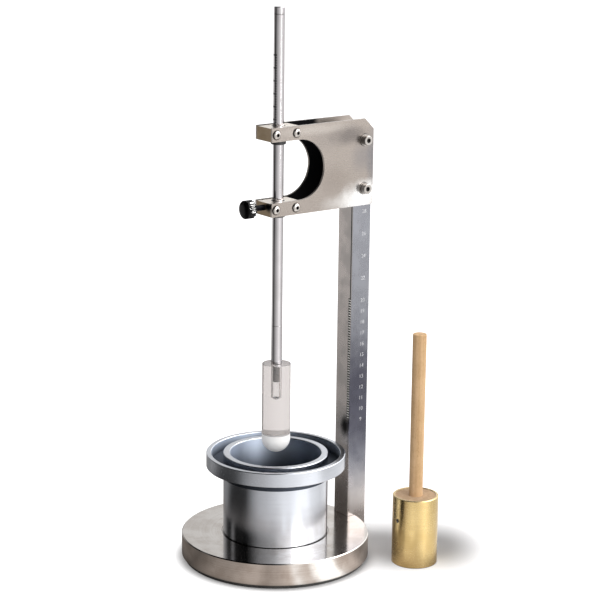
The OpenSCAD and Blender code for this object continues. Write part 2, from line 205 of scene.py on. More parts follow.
def use_group(tree, group, inputs):
    """Places a node group in a tree and returns its outputs."""
    made = tree.nodes.new("ShaderNodeGroup")
    made.node_tree = group
    return fill(tree, made, inputs)


def empty_tree(owner):
    """The node tree of a new material or world, with nothing in it."""
    owner.use_nodes = True
    owner.node_tree.nodes.clear()
    return owner.node_tree


def tone_ramp(tree, turn, tones):
    """A ramp of greys round the full turn, from (degrees, brightness) pairs."""
    made = tree.nodes.new("ShaderNodeValToRGB")
    ramp = made.color_ramp
    for degrees, brightness in tones[1:-1]:
        ramp.elements.new((degrees + 180) / 360)
    for element, (degrees, brightness) in zip(ramp.elements, tones):
        level = brightness / TONE_TOP
        element.color = (level, level, level, 1.0)
    tree.links.new(turn, made.inputs["Fac"])
    return made.outputs["Color"]


def make_room_tones():
    """Brightness by compass direction: ramps of arctan(y / x), one for each zone."""
    group, entry, result = new_group("room_tones", {"Place": NOWHERE}, TONES)
    parts = split(group, entry["Place"])
    angle = calc(group, "ARCTAN2", parts["Y"], parts["X"])
    turn = plus(group, angle, 0.5 / math.pi, 0.5)
    for name, tones in TONES.items():
        group.links.new(times(group, tone_ramp(group, turn, tones), TONE_TOP), result[name])
    return group


ROOM_TONES = make_room_tones()


def aim_camera():
    """Places the camera by its right, up and back directions."""
    data = bpy.data.cameras.new("view")
    data.sensor_width = SENSOR
    data.lens = VIEW_LENS
    data.clip_start = 0.01
    data.clip_end = 50.0
    camera = bpy.data.objects.new("view", data)
    back = VIEW_RIGHT.cross(VIEW_UP).normalized()
    up = back.cross(VIEW_RIGHT).normalized()
    right = up.cross(back)
    turn = Matrix((right, up, back)).transposed().to_4x4()
    camera.matrix_world = Matrix.Translation(VIEW_PLACE) @ turn
    bpy.context.scene.collection.objects.link(camera)
    bpy.context.scene.camera = camera


def ray_kinds(tree):
    """Whether a ray is the camera's, whether it was mirrored or bent on its way, and whether it
    came through clear plastic without a mirror."""
    rays = add(tree, "LightPath")
    bounced = calc(tree, "MAXIMUM", rays["Is Glossy Ray"], rays["Is Transmission Ray"])
    straight = calc(tree, "LESS_THAN", rays["Glossy Depth"], 0.5)
    return rays["Is Camera Ray"], bounced, times(tree, rays["Is Transmission Ray"], straight)


def light_world():
    """White behind everything that the camera sees; tones of the walls and a bright upper window
    in mirrors; soft light, greyer towards the left, for the rest."""
    world = bpy.data.worlds.new("room")
    bpy.context.scene.world = world
    tree = empty_tree(world)
    place = add(tree, "TexCoord")["Generated"]
    tones = use_group(tree, ROOM_TONES, {"Place": place})
    overhead = fade(tree, split(tree, place)["Z"], *SKY_HEIGHTS)
    across = vector(tree, "DOT_PRODUCT", place, WINDOW_SIDE)
    upper = fade(tree, across, *UPPER_ROOM)
    walls = times(tree, tones["Room"], calc(tree, "SUBTRACT", 1.0, overhead))
    shown = plus(tree, overhead, upper, walls)
    level = fade(tree, across, *SOFT_LIGHT)
    camera, bounced, clear = ray_kinds(tree)
    soft = add(tree, "Background", {"Color": SKY_WHITE, "Strength": level})[0]
    mirrored = add(tree, "Background", {"Color": shown, "Strength": 1.0})[0]
    white = add(tree, "Background", {"Color": WHITE, "Strength": 1.0})[0]
    step = add(tree, "MixShader", {0: bounced, 1: soft, 2: mirrored})[0]
    seen = calc(tree, "MAXIMUM", camera, clear)
    last = add(tree, "MixShader", {0: seen, 1: step, 2: white})[0]
    add(tree, "OutputWorld", {"Surface": last})


def soft_lamp(name, place, width, height, power, mirrored=True):
    """A screen of soft white light at a place, facing the middle of the set; one that isn't
    mirrored lights the pieces but doesn't show in their gloss."""
    data = bpy.data.lights.new(name, "AREA")
    data.shape = "RECTANGLE"
    data.size = width
    data.size_y = height
    data.energy = power
    data.color = WINDOW_WHITE
    lamp = bpy.data.objects.new(name, data)
    turn = (SET_MIDDLE - Vector(place)).to_track_quat("-Z", "Y").to_matrix().to_4x4()
    lamp.matrix_world = Matrix.Translation(place) @ turn
    lamp.visible_glossy = mirrored
    bpy.context.scene.collection.objects.link(lamp)
    return lamp


def link_light(lamp, piece, share):
    """Lights one piece alone by a lamp, or leaves it out of the lamp's light, as share says."""
    lit = bpy.data.collections.new("lit_by_" + lamp.name)
    lit.objects.link(piece)
    lamp.light_linking.receiver_collection = lit
    lit.collection_objects[0].light_linking.link_state = share


def table_light(tree, place, distance):
    """How much light the table gets: less near a stretch of a line beside the base, where the way
    past its ends counts half as much again, and less in a narrow rim round the base."""
    along = vector(tree, "DOT_PRODUCT", place, SHADE_ALONG)
    across = vector(tree, "DOT_PRODUCT", place, SHADE_ACROSS)
    from_middle = calc(tree, "ABSOLUTE", calc(tree, "SUBTRACT", along, SHADE_MIDDLE))
    past = calc(tree, "MAXIMUM", calc(tree, "SUBTRACT", from_middle, SHADE_HALF), 0.0)
    beside = calc(tree, "ADD", across, SHADE_ASIDE)
    from_shade = add(tree, "CombineXYZ", {0: times(tree, past, SHADE_END_GAIN), 1: beside})[0]
    patch = fade(tree, vector(tree, "LENGTH", from_shade), *SHADE_FADE)
    return times(tree, patch, fade(tree, distance, *RIM_FADE, RIM_LIGHT, 1.0))


def table_in_mirrors(tree, place, distance):
    """The table as polished metal shows it: tones by zone and direction, warm where the ground
    near the set is dark, and dim under the base."""
    tones = use_group(tree, ROOM_TONES, {"Place": place})
    shown = tones["Foot"]
    for name, start, end in ZONE_STARTS:
        shown = blend(tree, fade(tree, distance, start, end), shown, tones[name])
    dim = times(tree, fade(tree, distance, *WARM_REACH), fade(tree, shown, *WARM_LEVELS))
    warmth = blend(tree, dim, GROUND_COOL, GROUND_WARM)
    level = times(tree, shown, fade(tree, distance, *MIRROR_RIM, MIRROR_RIM_LIGHT, 1.0))
    return add(tree, "Emission", {"Color": vector(tree, "MULTIPLY", warmth, level), "Strength": 1.0})[0]


def lay_table():
    """A wide white sheet at the height of the pad's underside. Its light on the set is that of
    plain paper; the camera sees it with soft shade, and mirrors show its tones."""
    half = TABLE_SIZE / 2
    mesh = bpy.data.meshes.new("table")
    corners = [(-half, -half, 0), (half, -half, 0), (half, half, 0), (-half, half, 0)]
    mesh.from_pydata(corners, [], [(0, 1, 2, 3)])
    table = bpy.data.objects.new("table", mesh)
    bpy.context.scene.collection.objects.link(table)
    material = bpy.data.materials.new("white_table")
    tree = empty_tree(material)
    place = add(tree, "TexCoord")["Object"]
    distance = vector(tree, "LENGTH", place)
    grain = relief(tree, noise(tree, place, 900.0), 0.05, 0.0002)
    paper, shaded = (add(tree, "BsdfPrincipled", {"Base Color": colour, "Roughness": 0.8,
                                                  "Specular IOR Level": 0.2, "Normal": grain})[0]
                     for colour in (TABLE_WHITE, TABLE_SHADED))
    glow = add(tree, "Emission", {"Color": WHITE, "Strength": table_light(tree, place, distance)})[0]
    lit = add(tree, "AddShader", {0: shaded, 1: glow})[0]
    shown = table_in_mirrors(tree, place, distance)
    white = add(tree, "Emission", {"Color": WHITE, "Strength": 1.0})[0]
    camera, bounced, clear = ray_kinds(tree)
    direct = add(tree, "MixShader", {0: camera, 1: paper, 2: lit})[0]
    mirrored = add(tree, "MixShader", {0: bounced, 1: direct, 2: shown})[0]
    last = add(tree, "MixShader", {0: clear, 1: mirrored, 2: white})[0]
    add(tree, "OutputMaterial", {"Surface": last})
    mesh.materials.append(material)
    return table


aim_camera()
light_world()
TABLE = lay_table()
for *values, share in LAMPS:
    link_light(soft_lamp(*values), TABLE, share)
bpy.context.scene.view_settings.view_transform = "Standard"


# Foot pad
# A disc of plain black rubber under the base plate, cut from sheet 3 mm thick and glued on.
# Its rim shows as a dark line under the steel, and dust has settled on it.

RUBBER = (0.022, 0.021, 0.021)
RUBBER_DUST = (0.115, 0.110, 0.103)


def new_finish(name):
    """A material with only a main shader and an output, and the place on the piece."""
    material = bpy.data.materials.new(name)
    tree = empty_tree(material)
    shader = tree.nodes.new("ShaderNodeBsdfPrincipled")
    add(tree, "OutputMaterial", {"Surface": shader.outputs[0]})
    place = add(tree, "TexCoord")["Object"]
    return material, tree, shader, place


def set_finish(tree, shader, **values):
    """Sets or links inputs of the main shader; Base_Color stands for Base Color."""
    fill(tree, shader, {key.replace("_", " "): value for key, value in values.items()})


def dress(node, material):
    """Gives one solid of the frame its finish, in every material slot."""
    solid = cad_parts[node]
    if not solid.material_slots:
        solid.data.materials.append(material)
    for slot in solid.material_slots:
        slot.material = material


def make_dust():
    """Soft blotches and fine specks: noise at two sizes, each through a smooth step."""
    group, entry, result = new_group(
        "dust", {"Place": NOWHERE, "Blotch Size": 0.02, "Speck Size": 0.0006}, ("Blotch", "Speck"))
    blotch = noise(group, entry["Place"], calc(group, "DIVIDE", 1.0, entry["Blotch Size"]), 3.0, 0.55)
    speck = noise(group, entry["Place"], calc(group, "DIVIDE", 1.0, entry["Speck Size"]), 1.0)
    group.links.new(fade(group, blotch, 0.36, 0.66), result["Blotch"])
    group.links.new(fade(group, speck, 0.60, 0.78), result["Speck"])
    return group


DUST = make_dust()


def dust_on(tree, place, blotch, speck):
    """Dust's blotches and specks of two sizes."""
    return use_group(tree, DUST, {"Place": place, "Blotch Size": blotch, "Speck Size": speck})


def rubber_finish():
    """Matt black, greyed by dust in blotches and specks, with a fine pebbled surface."""
    material, tree, shader, place = new_finish("black_rubber")
    dust = dust_on(tree, place, 0.012, 0.0005)
    grey = plus(tree, dust["Blotch"], 0.35, times(tree, dust["Speck"], 0.5))
    pebble = relief(tree, noise(tree, place, 3200.0), 0.5, 0.0001)
    set_finish(tree, shader, Base_Color=blend(tree, grey, RUBBER, RUBBER_DUST), Normal=pebble,
               Roughness=plus(tree, dust["Blotch"], 0.15, 0.68))
    return material


dress("base_pad", rubber_finish())


# Base plate
# A disc of ground stainless steel, 20 mm thick, faced and turned on a lathe, with a ring cut
# lightly in its top for the cup and a slot milled in its edge for the column.

STEEL = (0.62, 0.595, 0.57)
STEEL_DULL = (0.42, 0.375, 0.34)
# Edge tones, light as a painted highlight along with wear and near black as painted shade, and the near
# black of painted shade in corners
EDGE_HIGHLIGHT_AND_WEAR = (0.85, 0.84, 0.83)
SHADED = (0.07, 0.06, 0.055)
CORNER_SHADE_BLACK = (0.03, 0.028, 0.026)
EDGE_WIDTH = 0.0005
CORNER_SHADE_REACH = 0.0015
FLAT = (1.0, 1.0, 0.0)


def make_turned_lines():
    """Lathe lines: noise over the radius and the height, nearly even round the axis."""
    group, entry, result = new_group("turned_lines", {"Place": NOWHERE, "Pitch": 0.0004}, ("Lines",))
    flat = vector(group, "MULTIPLY", entry["Place"], FLAT)
    around = split(group, vector(group, "NORMALIZE", flat))
    across = calc(group, "DIVIDE", vector(group, "LENGTH", flat), entry["Pitch"])
    up = calc(group, "DIVIDE", split(group, entry["Place"])["Z"], entry["Pitch"])
    place = add(group, "CombineXYZ", {0: across, 1: up, 2: times(group, around["X"], 0.7)})[0]
    lines = add(group, "TexNoise", {"Vector": place, "W": times(group, around["Y"], 0.7), "Scale": 1.0,
                                    "Detail": 3.0, "Roughness": 0.7}, noise_dimensions="4D")["Fac"]
    group.links.new(fade(group, lines, 0.25, 0.75), result["Lines"])
    return group


def make_worn_edges():
    """A mask of the edges: where the normal rounded over a small width leaves the true one."""
    group, entry, result = new_group("edge_mask", {"Width": EDGE_WIDTH}, ("Edge",))
    rounded = add(group, "Bevel", {"Radius": entry["Width"]}, samples=4)[0]
    match = vector(group, "DOT_PRODUCT", rounded, add(group, "NewGeometry")["Normal"])
    group.links.new(fade(group, match, 0.99, 0.80), result["Edge"])
    return group


def make_grime():
    """Painted shade in corners: little open sky over a short distance, through a smooth step."""
    group, entry, result = new_group("corner_shade", {"Reach": CORNER_SHADE_REACH}, ("Corner Shade",))
    open_sky = add(group, "AmbientOcclusion", {"Distance": entry["Reach"]}, samples=6)["AO"]
    group.links.new(fade(group, open_sky, 0.75, 0.35), result["Corner Shade"])
    return group


TURNED_LINES = make_turned_lines()
EDGE_MASK = make_worn_edges()
CORNER_SHADE = make_grime()


def metal_finish(name, bright, dull, polish, lines_of, blotch=0.02, line_swing=0.04, blotch_swing=0.05,
                 line_depth=0.2, edge_gain=0.25, edge_tone=EDGE_HIGHLIGHT_AND_WEAR, stretch=0.0):
    """Metal with tool lines: colour between bright and dull by blotches and lines, roughness from
    polish upwards by the same, the lines as a fine relief, edges drawn towards their own tone, by
    default a light one that paints a highlight along with wear, and corners darkened by painted
    shade. Stretch draws the gloss out across the lines of turned pieces."""
    material, tree, shader, place = new_finish(name)
    lines = lines_of(tree, place)
    dust = dust_on(tree, place, blotch, 0.0007)
    edge = use_group(tree, EDGE_MASK, {"Width": EDGE_WIDTH})["Edge"]
    corner_shade = use_group(tree, CORNER_SHADE, {"Reach": CORNER_SHADE_REACH})["Corner Shade"]
    dullness = plus(tree, dust["Blotch"], 0.45, times(tree, lines, 0.45))
    colour = blend(tree, dullness, bright, dull)
    # Edges drawn towards their tone, by default a painted highlight along with wear
    colour = blend(tree, times(tree, edge, edge_gain), colour, edge_tone)
    # Painted shade darkens the corners
    colour = blend(tree, times(tree, corner_shade, 0.85), colour, CORNER_SHADE_BLACK)
    rough = plus(tree, dust["Blotch"], blotch_swing, polish)
    rough = plus(tree, lines, line_swing, rough)
    rough = plus(tree, dust["Speck"], 0.04, rough)
    set_finish(tree, shader, Metallic=1.0, Base_Color=colour, Roughness=rough,
               Normal=relief(tree, lines, line_depth, 0.00002))
    if stretch:
        around = add(tree, "Tangent", direction_type="RADIAL", axis="Z")[0]
        set_finish(tree, shader, Anisotropic=stretch, Anisotropic_Rotation=0.25, Tangent=around)
    return material


def lathe(pitch, middle=NOWHERE):
    """Turned lines of one pitch round a vertical axis through the middle."""
    def lines_of(tree, place):
        moved = add(tree, "Mapping", {"Vector": place, "Location": tuple(-v for v in middle)})[0]
        return use_group(tree, TURNED_LINES, {"Place": moved, "Pitch": pitch})["Lines"]
    return lines_of


# The base plate's edges are drawn almost to black: painted shade in a thin dark line
dress("base_plate", metal_finish("turned_steel", STEEL, STEEL_DULL, 0.09, lathe(0.0005), blotch=0.016,
                                 stretch=0.5, line_swing=0.03, blotch_swing=0.03, line_depth=0.04,
                                 edge_gain=0.95, edge_tone=SHADED))


# Column
# A square bar of drawn stainless steel that stands in the slot of the base, ground along its
# length, with a row of fine marks along one front edge and small engraved numbers on its side.

COLUMN_STEEL = (0.63, 0.575, 0.55)
COLUMN_DULL = (0.53, 0.50, 0.485)
COLUMN_SIDE_SHADE = (0.30, 0.31, 0.345)
COLUMN_FRONT = 0.0735
COLUMN_SIDE = 0.010
# Painted shade darkens the scale side upwards between two heights; then the patches, with
# middle, reach, amount and colour: a smudge from handling by the end of the marks, the brown foot
# of the front, and painted shade over the lower stretch of the side
SIDE_SHADE_FADE = (0.030, 0.085)
COLUMN_STAINS_AND_SHADE = (((0.004, COLUMN_FRONT, 0.107), (0.008, 0.004, 0.013), 0.97, (0.02, 0.018, 0.018)),
                 ((0.0, COLUMN_FRONT, 0.035), (0.02, 0.004, 0.035), 0.45, (0.20, 0.14, 0.10)),
                 ((COLUMN_SIDE, 0.0835, 0.130), (0.004, 0.04, 0.095), 0.95, (0.10, 0.10, 0.13)))


def make_drawn_lines():
    """Lines drawn out along one direction: noise squeezed across it and stretched along it."""
    group, entry, result = new_group(
        "drawn_lines", {"Place": NOWHERE, "Along": (0.0, 0.0, 1.0), "Pitch": 0.0004, "Length": 0.03},
        ("Lines",))
    reach = vector(group, "DOT_PRODUCT", entry["Place"], entry["Along"])
    along = vector(group, "MULTIPLY", entry["Along"], reach)
    across = vector(group, "SUBTRACT", entry["Place"], along)
    fine = vector(group, "MULTIPLY", across, calc(group, "DIVIDE", 1.0, entry["Pitch"]))
    long = vector(group, "MULTIPLY", along, calc(group, "DIVIDE", 1.0, entry["Length"]))
    lines = noise(group, vector(group, "ADD", fine, long), 1.0, 3.0, 0.65)
    group.links.new(fade(group, lines, 0.27, 0.73), result["Lines"])
    return group


DRAWN_LINES = make_drawn_lines()


def drawn(along, pitch, length):
    """Drawn lines along a direction, with a pitch and a length."""
    def lines_of(tree, place):
        values = {"Place": place, "Along": along, "Pitch": pitch, "Length": length}
        return use_group(tree, DRAWN_LINES, values)["Lines"]
    return lines_of


def make_soft_spot():
    """A round soft-edged spot: distance from a middle, each way divided by its reach, ragged by
    noise, through a smooth step."""
    group, entry, result = new_group(
        "soft_spot", {"Place": NOWHERE, "Middle": NOWHERE, "Reach": (1.0, 1.0, 1.0)}, ("Spot",))
    moved = vector(group, "SUBTRACT", entry["Place"], entry["Middle"])
    scaled = vector(group, "DIVIDE", moved, entry["Reach"])
    distance = vector(group, "LENGTH", scaled)
    ragged = plus(group, noise(group, entry["Place"], 90.0, 3.0), 0.5, distance)
    group.links.new(fade(group, ragged, 1.3, 0.4), result["Spot"])
    return group


SOFT_SPOT = make_soft_spot()


def parts_of(material):
    """The tree, main shader and place of a finish that is to be worked on further."""
    tree = material.node_tree
    shader = next(n for n in tree.nodes if n.type == "BSDF_PRINCIPLED")
    place = next(n for n in tree.nodes if n.type == "TEX_COORD").outputs["Object"]
    return tree, shader, place


def tint(material, mask, amount, colour):
    """Draws the finish's colour towards another by a mask and an amount."""
    tree, shader, place = parts_of(material)
    before = shader.inputs["Base Color"].links[0].from_socket
    set_finish(tree, shader, Base_Color=blend(tree, times(tree, mask, amount), before, colour))


def stain(material, middle, reach, amount, colour):
    """A soft spot of another tone on a finish."""
    tree, shader, place = parts_of(material)
    spot = use_group(tree, SOFT_SPOT, {"Place": place, "Middle": middle, "Reach": reach})["Spot"]
    tint(material, spot, amount, colour)


column_finish = metal_finish("ground_bar", COLUMN_STEEL, COLUMN_DULL, 0.22, drawn((0, 0, 1), 0.0005, 0.02),
                             blotch=0.018, blotch_swing=0.08)
tree, shader, place = parts_of(column_finish)
ways = split(tree, place)
# Painted shade on the scale side, darker upwards
on_side = times(tree, fade(tree, ways["X"], COLUMN_SIDE - 0.0004, COLUMN_SIDE - 0.0001),
                fade(tree, ways["Z"], *SIDE_SHADE_FADE, 0.1, 1.0))
tint(column_finish, on_side, 0.95, COLUMN_SIDE_SHADE)
# Stains on the front, and painted shade on the side
for values in COLUMN_STAINS_AND_SHADE:
    stain(column_finish, *values)
dress("column", column_finish)


def place_piece(name, mesh, material, body, crease=35.0):
    """Puts a finished mesh into the scene, smooth but for edges sharper than the crease angle."""
    mesh.shade_smooth()
    mesh.set_sharp_from_angle(angle=math.radians(crease))
    mesh.materials.append(material)
    piece = bpy.data.objects.new(name, mesh)
    bpy.context.scene.collection.objects.link(piece)
    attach(piece, body)
    return piece


def patches(name, grids, material, body):
    """One mesh from a stack of separate grids, patches by rows by columns."""
    count, rows, columns = grids.shape[:3]
    start = (np.arange(count) * rows * columns)[:, None, None]
    row = (np.arange(rows - 1) * columns)[None, :, None]
    column = np.arange(columns - 1)[None, None, :]
    low = start + row + column
    faces = np.stack([low, low + 1, low + columns + 1, low + columns], axis=-1).reshape(-1, 4)
    mesh = bpy.data.meshes.new(name)
    mesh.from_pydata(grids.reshape(-1, 3), [], faces)
    return place_piece(name, mesh, material, body)


def fill_finish(name, colour, wear_and_light, polish):
    """Paint rubbed into fine cuts, patchy where it has worn thin, in blotches and specks."""
    material, tree, shader, place = new_finish(name)
    dust = dust_on(tree, place, 0.006, 0.0004)
    amount = plus(tree, dust["Speck"], 0.6, times(tree, dust["Blotch"], 0.4))
    set_finish(tree, shader, Base_Color=blend(tree, amount, colour, wear_and_light),
               Roughness=plus(tree, dust["Blotch"], 0.2, polish))
    return material


SCALE_LOW = 0.1160
SCALE_HIGH = 0.2246
SCALE_PITCH = 0.0023
LINE_TOP = 0.3085
LINE_EDGES = (0.0081, 0.0095)
GROUND_EDGES = (0.0062, 0.0095)
MARK_EDGES = (0.0066, 0.0094)
MARK_HALF = 0.00042
MARK_LIFT = 0.00003
NUMERAL_SIZE = 0.0048
NUMERAL_PLACE = 0.0862
NUMERALS = (*range(9, 21), *range(22, 30, 2))
BASE_TOP = 0.023
GROUND_MARGIN = 0.001
# Colours of the filled cuts, fresh and worn
DARK_FILL = ((0.012, 0.012, 0.012), (0.05, 0.048, 0.046))
CREAM_FILL = ((0.95, 0.93, 0.88), (0.74, 0.70, 0.64))
PALE_FILL = ((0.66, 0.66, 0.68), (0.36, 0.36, 0.38))


def bars(across, heights, half, lift):
    """Flat bars on the column's front, two by two corners each: every pair of the ends across
    and of the heights plus and minus half a bar, a hair in front of the face."""
    grids = np.empty((len(heights), 2, 2, 3))
    grids[..., 0] = np.array(across)[None, None, :]
    grids[..., 1] = COLUMN_FRONT - lift
    grids[..., 2] = np.asarray(heights)[:, None, None] + np.array([-half, half])[None, :, None]
    return grids


def numeral_sheet():
    """Numerals joined into one flat mesh: each is turned to read along +Y and stand along +Z,
    and moved to its height above the base in centimetres."""
    work = bmesh.new()
    for number in NUMERALS:
        curve = bpy.data.curves.new("numeral", "FONT")
        curve.body = str(number)
        curve.size = NUMERAL_SIZE
        curve.align_x = "CENTER"
        curve.resolution_u = 3
        writing = bpy.data.objects.new("numeral", curve)
        flat = bpy.data.meshes.new_from_object(writing)
        foot = (COLUMN_SIDE + MARK_LIFT, NUMERAL_PLACE, BASE_TOP + 0.01 * number - NUMERAL_SIZE / 3)
        turn = Matrix(((0, 0, 1), (1, 0, 0), (0, 1, 0))).to_4x4()
        flat.transform(Matrix.Translation(foot) @ turn)
        work.from_mesh(flat)
        bpy.data.objects.remove(writing)
        bpy.data.curves.remove(curve)
        bpy.data.meshes.remove(flat)
    mesh = bpy.data.meshes.new("column_numbers")
    work.to_mesh(mesh)
    work.free()
    return mesh


marks = np.arange(SCALE_LOW, SCALE_HIGH + 1e-6, SCALE_PITCH)
middle = (SCALE_LOW + SCALE_HIGH) / 2
above = (SCALE_HIGH + LINE_TOP) / 2
dark_fill = fill_finish("dark_fill", *DARK_FILL, 0.5)
ground = bars(GROUND_EDGES, [middle], middle - SCALE_LOW + GROUND_MARGIN, MARK_LIFT / 2)
line = bars(LINE_EDGES, [above], LINE_TOP - above, MARK_LIFT / 2)
patches("column_scale_ground", ground, dark_fill, "stand")
patches("column_edge_line", line, dark_fill, "stand")
patches("column_scale_marks", bars(MARK_EDGES, marks, MARK_HALF, MARK_LIFT),
        fill_finish("cream_fill", *CREAM_FILL, 0.5), "stand")
place_piece("column_numbers", numeral_sheet(), fill_finish("pale_fill", *PALE_FILL, 0.45),
            "stand")
dress("column_screws", metal_finish("screw_steel", STEEL, STEEL_DULL, 0.20, lathe(0.0004)))


# Head
# Two plates of brushed sheet steel screwed to the sides of two drilled blocks and bolted to the
# column, with a round-ended slot for the hand. Their inner faces are painted black as shade.

SHEET = (0.43, 0.385, 0.35)
SHEET_DULL = (0.335, 0.295, 0.265)
# Near black of the plates' inner faces: painted shade
INNER_SHADE_BLACK = (0.006, 0.006, 0.007)
BLOCK = (0.60, 0.55, 0.48)
BLOCK_DULL = (0.40, 0.33, 0.25)
# Block tops painted lighter as light, end faces painted darker brown as shade
BLOCK_TOP_LIT = (0.95, 0.88, 0.80)
BLOCK_END_SHADED = (0.37, 0.26, 0.145)
# Near black of painted shade in sockets, round heads, under the knob and in the pin's hole
PAINTED_SHADE_BLACK = (0.012, 0.012, 0.014)
BUSH_BLACK = (0.012, 0.012, 0.013)
PLATE_INNER = 0.010
PLATE_OUTER = 0.012
# Where the painted black is lighter on a plate's inner face: behind the slot, by its top edge
LESS_BLACK_BACK = (0.044, 0.054)
LESS_BLACK_TOP = (0.378, 0.380)
# The knob's painted shadow on the lower block beside the knob's screw: its middle and reach
SCREW_SHADE = ((0.0075, -0.015, 0.3170), (0.0055, 0.002, 0.0055))
# Axes of the fasteners, as the middle of four and the way from it to each
ARM_AXES = ((0.0, 0.0, 0.347), (0.0, 0.0105, 0.032))
BOLT_AXES = ((0.0, 0.0835, 0.34525), (0.0, 0.0, 0.02125))
# Fasteners of each side, with their axes and the radii of socket, head and what lies on the plate
FASTENERS = (("arm_screws_", ARM_AXES, 0.0015, 0.0038, 0.0038),
             ("head_bolts_", BOLT_AXES, 0.0021, 0.00425, 0.0050))


def plate_finish(name, side):
    """Brushed sheet with its inner face painted black as shade: a mask on the distance from the middle
    plane.
    """
    material = metal_finish(name, SHEET, SHEET_DULL, 0.22, drawn((0, 1, 0), 0.0005, 0.015), blotch=0.05,
                            blotch_swing=0.05)
    tree, shader, place = parts_of(material)
    ways = split(tree, place)
    inner = fade(tree, times(tree, ways["X"], side), PLATE_INNER + 0.00004, PLATE_INNER + 0.00001)
    wear_and_light = times(tree, fade(tree, ways["Y"], *LESS_BLACK_BACK), fade(tree, ways["Z"], *LESS_BLACK_TOP))
    mask = times(tree, inner, plus(tree, wear_and_light, -0.75, 1.0))
    colour = shader.inputs["Base Color"].links[0].from_socket
    rough = shader.inputs["Roughness"].links[0].from_socket
    set_finish(tree, shader, Base_Color=blend(tree, mask, colour, INNER_SHADE_BLACK),
               Roughness=plus(tree, mask, 0.5, rough))
    return material


def plastic_finish(name, colour, polish, dirt_and_sheen=None, pit=0.25):
    """Moulded or turned plastic: faint blotches of wear, a fine pebble, and edges drawn towards the
    worn tone, which where it is lighter is a painted highlight along with wear.
    """
    material, tree, shader, place = new_finish(name)
    dust = dust_on(tree, place, 0.006, 0.0004)
    wear_and_light = dirt_and_sheen or tuple(min(1.0, c * 1.7 + 0.012) for c in colour)
    edge = use_group(tree, EDGE_MASK, {"Width": 0.0005})["Edge"]
    amount = plus(tree, dust["Blotch"], 0.35, times(tree, dust["Speck"], 0.25))
    amount = calc(tree, "MAXIMUM", amount, times(tree, edge, 0.4))
    pebble = relief(tree, noise(tree, place, 2600.0), pit, 0.00004)
    set_finish(tree, shader, Base_Color=blend(tree, amount, colour, wear_and_light), Normal=pebble,
               Roughness=plus(tree, dust["Blotch"], 0.10, polish))
    return material


def from_screws(tree, place, middle, fold):
    """Distance across the plates from the nearest of four screw axes, which lie at the middle
    plus or minus the fold: absolute offsets less the fold, measured in the plates' plane."""
    moved = vector(tree, "SUBTRACT", place, middle)
    folded = vector(tree, "ABSOLUTE", moved)
    offset = vector(tree, "SUBTRACT", folded, fold)
    flat = vector(tree, "MULTIPLY", offset, (0.0, 1.0, 1.0))
    return vector(tree, "LENGTH", flat)


def screw_finish(name, axes, socket, head):
    """Bright steel with painted shade: a dark socket and a dark rim where the head meets the plate."""
    material = metal_finish(name, STEEL, STEEL_DULL, 0.14, drawn((1, 0, 0), 0.0003, 0.002))
    tree, shader, place = parts_of(material)
    distance = from_screws(tree, place, *axes)
    tint(material, fade(tree, distance, socket + 0.0001, socket - 0.0002), 0.97, PAINTED_SHADE_BLACK)
    tint(material, fade(tree, distance, head - 0.0004, head), 0.75, PAINTED_SHADE_BLACK)
    return material


# Handling has left the sheet smeared, brown by the hand slot and dark by the upper bolt; the white
# patches by the lower bolt are painted highlights
SMEARS_AND_HIGHLIGHTS = (((0.066, 0.372), (0.026, 0.012), 0.60, (0.12, 0.11, 0.11)),
          ((0.082, 0.352), (0.016, 0.018), 0.40, (0.20, 0.20, 0.22)),
          ((0.040, 0.371), (0.022, 0.016), 0.25, (0.24, 0.22, 0.21)),
          ((0.050, 0.335), (0.022, 0.018), 0.30, (0.26, 0.22, 0.19)),
          ((0.0935, 0.350), (0.010, 0.038), 0.65, (0.21, 0.21, 0.23)),
          ((0.030, 0.380), (0.050, 0.006), 0.35, (0.62, 0.58, 0.54)),
          # Painted highlights by the lower bolt
          ((0.062, 0.314), (0.030, 0.010), 0.55, (0.80, 0.78, 0.76)),
          ((0.080, 0.314), (0.026, 0.020), 1.0, (1.0, 0.995, 0.99)),
          ((0.089, 0.320), (0.010, 0.014), 0.80, (0.99, 0.985, 0.98)))
for side_name, side in (("right", 1), ("left", -1)):
    sheet = plate_finish("brushed_sheet_" + side_name, side)
    for (along, up), (reach_along, reach_up), amount, colour in SMEARS_AND_HIGHLIGHTS:
        stain(sheet, (side * PLATE_OUTER, along, up), (0.001, reach_along, reach_up), amount, colour)
    tree, shader, place = parts_of(sheet)
    for kind, axes, socket, head, covered in FASTENERS:
        from_these = from_screws(tree, place, *axes)
        # Painted shade: a dark ring on the plate round each head
        tint(sheet, fade(tree, from_these, covered + 0.0009, covered), 0.9, PAINTED_SHADE_BLACK)
        node = kind + side_name
        dress(node, screw_finish("bright_" + node, axes, socket, head))
    dress("side_plate_" + side_name, sheet)
for node in ("guide_block_upper", "guide_block_lower"):
    block = metal_finish("milled_" + node, BLOCK, BLOCK_DULL, 0.33, drawn((1, 0, 0), 0.0004, 0.008))
    tree, shader, place = parts_of(block)
    # Tops painted light and end faces painted shade, by which way a face looks
    facing = split(tree, add(tree, "TexCoord")["Normal"])
    tint(block, fade(tree, facing["Z"], 0.5, 0.9), 0.9, BLOCK_TOP_LIT)
    tint(block, fade(tree, facing["Y"], -0.5, -0.9), 0.75, BLOCK_END_SHADED)
    # The knob's painted shadow by its screw
    stain(block, *SCREW_SHADE, 0.97, PAINTED_SHADE_BLACK)
    dress(node, block)
washer_finish = metal_finish("bright_washers", STEEL, STEEL_DULL, 0.18, drawn((1, 0, 0), 0.0003, 0.002))
dress("head_washers", washer_finish)
for node in ("guide_bush_upper", "guide_bush_lower"):
    dress(node, plastic_finish("black_" + node, BUSH_BLACK, 0.32))


